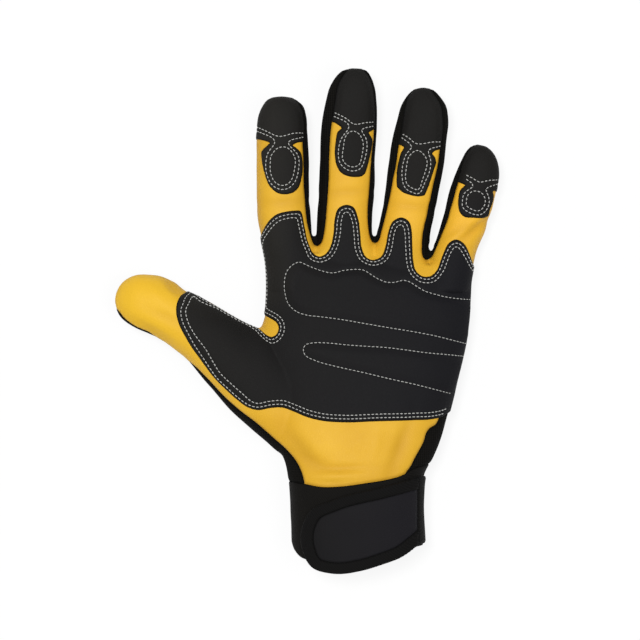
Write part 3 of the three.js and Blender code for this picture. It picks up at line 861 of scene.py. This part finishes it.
# The fingertip patches: four caps of the same synthetic leather, each with an oval lobe below a neck.
# One row of stitches crosses the cap, one follows its edge round the lobe, and one is a ring in it.
TIPS = {
    "index": {
        "edge": [(-30, 91.6), (-25.2, 90.8), (-21.8, 90), (-18.4, 88.8)],
        "lobe": [
            (-18.4, 88.8), (-20.2, 87.3), (-22.6, 84.8), (-22.6, 81.5), (-21.1, 73.2), (-19.8, 69.1),
            (-17.6, 65.8), (-14.7, 63.7), (-10.9, 63.2), (-7.2, 64.1), (-4.7, 66.6), (-3.4, 70.3),
            (-2.7, 80.7), (-3.4, 84), (-5.6, 86.3), (-7.8, 87.8),
        ],
        "far_edge": [(-7.8, 87.8), (-5.6, 88.8), (-2.2, 89.4), (1.5, 89.8)],
        "cap_row": [
            (-25.5, 97), (-19.2, 94), (-15.9, 92.3), (-13, 91.9), (-10.5, 92.5), (-7.2, 93.5), (-2, 93.8),
        ],
        "neck": [(-16.1, 89.2), (-9.7, 89)],
        "ring": [
            (-18.4, 82), (-14.7, 86.3), (-10.9, 86.7), (-6.2, 81.1), (-6.5, 75.5), (-8, 70.3), (-10.2, 68),
            (-13.8, 67.7), (-16.5, 69.5), (-18.2, 73.2),
        ],
    },
    "middle": {
        "edge": [(5, 103), (12.2, 99.4), (14.6, 98.2), (17.4, 96.1)],
        "lobe": [
            (17.4, 96.1), (15.2, 94.5), (14.3, 90.7), (13.9, 80.8), (14.8, 77), (17, 73.7), (20.3, 72.2),
            (24.5, 71.8), (27.8, 72.7), (29.4, 76.2), (30.7, 80.8), (31.9, 86.5), (32.3, 90.7), (31.1, 92.8),
            (29.8, 93.8),
        ],
        "far_edge": [(29.8, 93.8), (31.9, 95), (33.4, 95.9), (37.5, 97.2)],
        "cap_row": [(12, 104.6), (19.5, 100.7), (23.1, 98), (28.7, 98.8), (33, 99.3)],
        "neck": [(20.8, 97.1), (26.8, 94.9)],
        "ring": [
            (18.2, 89), (19.1, 92.3), (22, 94.7), (25.3, 93.6), (27.4, 90.3), (27.2, 82.8), (25.3, 77.5),
            (21.6, 76.8), (18.2, 79.1),
        ],
    },
    "ring": {
        "edge": [(39, 91), (45.8, 88), (48.5, 86.7)],
        "lobe": [
            (48.5, 86.7), (46.7, 84), (45.8, 80.7), (44.9, 76.5), (44.6, 71.6), (44.9, 67), (47.1, 64.5),
            (50.3, 63.1), (55.3, 62.2), (58.2, 62.7), (59.5, 65.3), (61.2, 69.9), (62.8, 74.9), (64.1, 79.8),
            (63.2, 82.3), (61.6, 83.8),
        ],
        "far_edge": [(61.6, 83.8), (63.7, 85), (65.9, 85.7), (72, 87)],
        "cap_row": [(46.8, 93.6), (50.3, 91.5), (54.3, 88.3), (57.4, 88.3), (61.9, 89.2), (66.6, 89.4)],
        "neck": [(52, 86.5), (60.1, 84.7)],
        "ring": [
            (49.6, 78.2), (50.3, 81.5), (52.4, 84), (54.7, 85.2), (57.8, 83.2), (59.7, 79.5), (59.1, 75.7),
            (57.4, 70.8), (54.9, 65.3), (52.8, 66), (49.6, 68.2), (48.9, 72),
        ],
    },
    "little": {
        "edge": [(70, 72), (75.8, 69.2), (79.1, 67.7)],
        "lobe": [
            (79.1, 67.7), (76.6, 65.7), (75.6, 62.3), (75.3, 57.8), (76.2, 54), (78.2, 52), (82.4, 51.5),
            (86.9, 51.5), (89.4, 52.3), (90.7, 55.7), (92.3, 60.2), (92.6, 63.5), (91.6, 65.6),
        ],
        "far_edge": [(91.6, 65.6), (94.4, 64.8), (99, 64)],
        "cap_row": [(79, 72.9), (82.8, 71), (85.8, 69.2), (89.4, 70), (95, 70.6)],
        "neck": [(82.8, 67.7), (88.9, 65.2)],
        "ring": [
            (79.3, 59.8), (79.7, 62.3), (81.6, 64.4), (86.2, 64.4), (88.2, 62.3), (88.7, 58.6), (85.3, 54.8),
            (81.6, 55.9), (79.1, 57.8),
        ],
    },
}
# How far the row round the lobe lies outside the ring, and its ends below the row that crosses the cap.
LOBE_ROW = 2
EDGE_ROW_DROP = 1.95


def lobe_row(tip):
    """The row that follows a cap's edge and goes round its lobe, wider than the ring."""
    ring = np.array(tip["ring"])
    middle = ring.mean(0)
    wider = [spot + LOBE_ROW * (spot - middle) / np.linalg.norm(spot - middle) for spot in ring]
    wider.sort(
        key=lambda spot: (math.atan2(spot[1] - middle[1], spot[0] - middle[0]) - math.pi / 2) % math.tau
    )
    near_neck = min(tip["neck"][0][1], tip["neck"][1][1]) - 1.5
    wider = [spot for spot in wider if spot[1] < near_neck]
    start, end = ((x, y - EDGE_ROW_DROP) for x, y in (tip["cap_row"][0], tip["cap_row"][-1]))
    return [start, tip["neck"][0], *wider, tip["neck"][1], end]


for name, tip in TIPS.items():
    beyond_tip = FINGERS[name]["tip"][1] + 3
    edge, far_edge = (along(tip[side], 1) for side in ("edge", "far_edge"))
    outline = [*edge, *along(tip["lobe"], 1)[1:], *far_edge[1:]]
    outline += [(far_edge[-1][0], beyond_tip), (edge[0][0], beyond_tip)]
    cap = refined(panel(inside(outline), within(above_seam), clear_of(under_strips)))
    spots = places(cap)
    border = mark_border(cap)
    # The cap thins towards the side strips and the seam, so that the fingertip stays round.
    thin = ease(-under_strips(spots), -0.5, 4) * ease(above_seam(spots), 1.2, 7)
    rise = SEAM_TOP + (PATCH_TOP - SEAM_TOP) * thin * rolled(border, EDGE_ROLL)
    rows = [tip["cap_row"], lobe_row(tip), [*tip["ring"], tip["ring"][0]]]
    for row in rows:
        rise = rise - CHANNEL_DEPTH * hump(near(along(row, 0.8))(spots), CHANNEL_WIDTH)
    lift(cap, rise)
    cover = BVHTree.FromBMesh(cap)
    for row in rows:
        sew(cover, row, flat=True)
    piece, node = "fingertip_cap_" + name, "fingertip_patch_" + name
    finish_piece(piece, cap, PATCH_WALL, black_synthetic, [node])

# The stitching: thick off-white sewing thread in lockstitch, one stitch every two millimetres. It was
# laid out with the patches, and here each stitch becomes a small rounded bead of thread. The beads are
# added a few at a time, because an operator on a large mesh is slow.
FEW = 30


def thread_finish():
    cotton = Finish("grey_thread")
    strands = cotton.ribs(1500, 2)
    colour = cotton.blend(strands, (0.42, 0.42, 0.40, 1), (0.66, 0.66, 0.63, 1))
    return cotton.surface(colour, 0.75 + 0.1 * strands, strands, 0.00003, Specular_IOR_Level=0.2)


thread = bmesh.new()
group = bpy.data.meshes.new("group")
for first in range(0, len(stitches), FEW):
    few = bmesh.new()
    for place in stitches[first : first + FEW]:
        bmesh.ops.create_uvsphere(few, u_segments=7, v_segments=5, radius=0.5, matrix=place)
    few.to_mesh(group)
    few.free()
    thread.from_mesh(group)
finish_piece("stitching", thread, 0, thread_finish(), [])

# The cuff: a ring of black neoprene faced with fabric, sewn to the front and the back at its top and
# open at its mouth, where the hand goes in.
CORNER = [(-8.6, -107.5), (-7.9, -111), (-6.6, -114.4), (-4, -117.2), (-0.4, -118.7)]
MOUTH_END = (56.5, -112)
CUFF_WALL = 1.9
CUFF_ROLL = 0.9


def neoprene_finish():
    neoprene = Finish("black_neoprene")
    weave = neoprene.ribs(420, 0.8)
    fuzz = neoprene.mottle(2600)
    relief = 0.5 * weave + 0.5 * fuzz
    colour = neoprene.blend(relief, (0.0024, 0.0021, 0.0016, 1), (0.0074, 0.0064, 0.0052, 1))
    return neoprene.surface(colour, 0.85, relief, 0.00015, Specular_IOR_Level=0.15)


above_mouth = inside([(-20, -60), (-20, -104), *along(CORNER, 0.8), MOUTH_END, (90, -109.1), (90, -60)])
cuff = refined(panel(within(in_cuff), above_mouth))
border = mark_border(cuff)
lift(cuff, 0.5 * (rolled(border, CUFF_ROLL) - 1))
finish_piece("cuff_ring", cuff, CUFF_WALL, neoprene_finish(), ["cuff"])

# The closing strap: a charcoal panel that comes round from the little finger's side and is fastened
# over the front of the cuff. Its lower edge hangs past the mouth.
STRAP = [
    (74, -71.7), (40, -81.4), (12.7, -88.6), (2.5, -93.8), (-1.5, -102), (-1.5, -113), (3, -122.2),
    (12.5, -125.1), (26, -123.8), (37, -120.5), (46, -117), (54, -111), (62, -104), (74, -97),
]
STRAP_END = 53.6
BINDING_WIDTH = 5.8
STRAP_GAP = 0.4
TUCK = 1.3
STRAP_WALL = 1.6
STRAP_LIFT = 0.9


def panel_finish():
    charcoal = Finish("charcoal_panel")
    weave = charcoal.add("TexVoronoi", {"Vector": charcoal.place, "Scale": 1500})
    clouds = charcoal.mottle(40)
    # Lighter and bluer towards the little finger's side, with soft clouds of tone.
    tone_across = charcoal.ramp(charcoal.axis("X"), 0.002, 0.05) * 0.8 + 0.2 * clouds
    colour = charcoal.blend(tone_across, (0.0058, 0.0054, 0.0056, 1), (0.0084, 0.0077, 0.0106, 1))
    return charcoal.surface(colour, 0.75 + 0.1 * clouds, weave, 0.0001, Specular_IOR_Level=0.2)


in_strap = inside(along(STRAP, 1))


def before_welt(spots):
    return STRAP_END - spots[:, 0]


def on_panel(spots):
    return in_strap(spots) - BINDING_WIDTH + TUCK


strap = refined(panel(above_seam, before_welt, on_panel))
border = mark_border(strap)
# The panel's rim lies tucked under the border, and from there it is slightly domed.
lift(strap, STRAP_GAP + STRAP_LIFT + 0.7 * ease(border, TUCK - 0.4, TUCK + 0.4) + 0.3 * ease(border, TUCK, 7))
finish_piece("strap_cover", strap, STRAP_WALL, panel_finish(), ["strap_panel"])

# The strap's border: a tape of black ribbed cloth, folded over the panel's rim and sewn down all round.
# It stands thicker than the panel, and both its edges are rolled.
BORDER_WALL = 1.3
BORDER_LIFT = 2.5
BORDER_ROLL = 1.6


def tape_finish():
    tape = Finish("black_binding")
    ribs = tape.ribs(420, 0.4)
    fuzz = tape.mottle(2600)
    relief = 0.6 * ribs + 0.4 * fuzz
    colour = tape.blend(relief, (0.0018, 0.0016, 0.0015, 1), (0.0056, 0.0052, 0.005, 1))
    return tape.surface(colour, 0.85, relief, 0.00016, Specular_IOR_Level=0.15)


def on_border(spots):
    return BINDING_WIDTH - SEAM_GAP - in_strap(spots)


tape = refined(panel(above_seam, before_welt, in_strap, on_border))
border = mark_border(tape)
lift(tape, STRAP_GAP + BORDER_LIFT - 1.1 * (1 - rolled(border, BORDER_ROLL)))
black_binding = tape_finish()
finish_piece("strap_border", tape, BORDER_WALL, black_binding, ["strap_binding"])

# The welt: a flat tape of the same cloth, sewn down the side of the cuff on the little finger's side.
# It covers the fixed end of the strap.
WELT_WALL = 1.1
in_welt = inside([(54.1, -110.8), (66, -110.8), (66, -77.5), (54.1, -77.5)])
welt = refined(panel(in_welt, lambda spots: above_seam(spots) + 8))
border = mark_border(welt)
lift(welt, STRAP_GAP + STRAP_LIFT - 0.5 * (1 - ease(border, 0, 1)))
finish_piece("strap_fixing", welt, WELT_WALL, black_binding, ["strap_welt"])

# The table: a plain pale surface that the glove lies on, in soft studio light. It glows, which is painted
# light:
# the glow keeps it white and fills the shadows round the glove. The camera stands straight above the glove.
ground = bmesh.new()
bmesh.ops.create_grid(ground, x_segments=4, y_segments=4, size=4)
bmesh.ops.translate(ground, vec=(0, 0, -0.0002), verts=ground.verts)
table_mesh = bpy.data.meshes.new("table")
ground.to_mesh(table_mesh)
ground.free()
paper = Finish("pale_table")
tone = paper.blend(paper.mottle(3), (0.11, 0.11, 0.11, 1), (0.13, 0.13, 0.13, 1))
glow = {"Specular_IOR_Level": 0, "Emission_Color": (1, 1, 1, 1), "Emission_Strength": 0.88}
table_mesh.materials.append(paper.surface(tone, 0.9, paper.mottle(400), 0.00002, **glow))
table = bpy.data.objects.new("table", table_mesh)
bpy.context.scene.collection.objects.link(table)

world = bpy.data.worlds.new("studio")
world.use_nodes = True
world.node_tree.nodes["Background"].inputs["Color"].default_value = (1, 1, 1, 1)
world.node_tree.nodes["Background"].inputs["Strength"].default_value = 0.24
bpy.context.scene.world = world
# Each lamp's name, place, size and power.
LAMPS = [("key", (-0.35, 0.3, 2.6), 0.5, 46), ("fill", (0.7, -0.2, 2.2), 0.8, 10)]
for name, spot, size, power in LAMPS:
    lamp = bpy.data.lights.new(name, "AREA")
    lamp.size = size
    lamp.energy = power
    light = bpy.data.objects.new(name, lamp)
    light.location = spot
    light.rotation_euler = (-Vector(spot)).to_track_quat("-Z", "Y").to_euler()
    bpy.context.scene.collection.objects.link(light)

lens = bpy.data.cameras.new("camera")
lens.lens = 225
camera = bpy.data.objects.new("camera", lens)
camera.location = (0.00625, 0.0005, 2.02)
bpy.context.scene.collection.objects.link(camera)
bpy.context.scene.camera = camera
bpy.context.scene.view_settings.view_transform = "Standard"
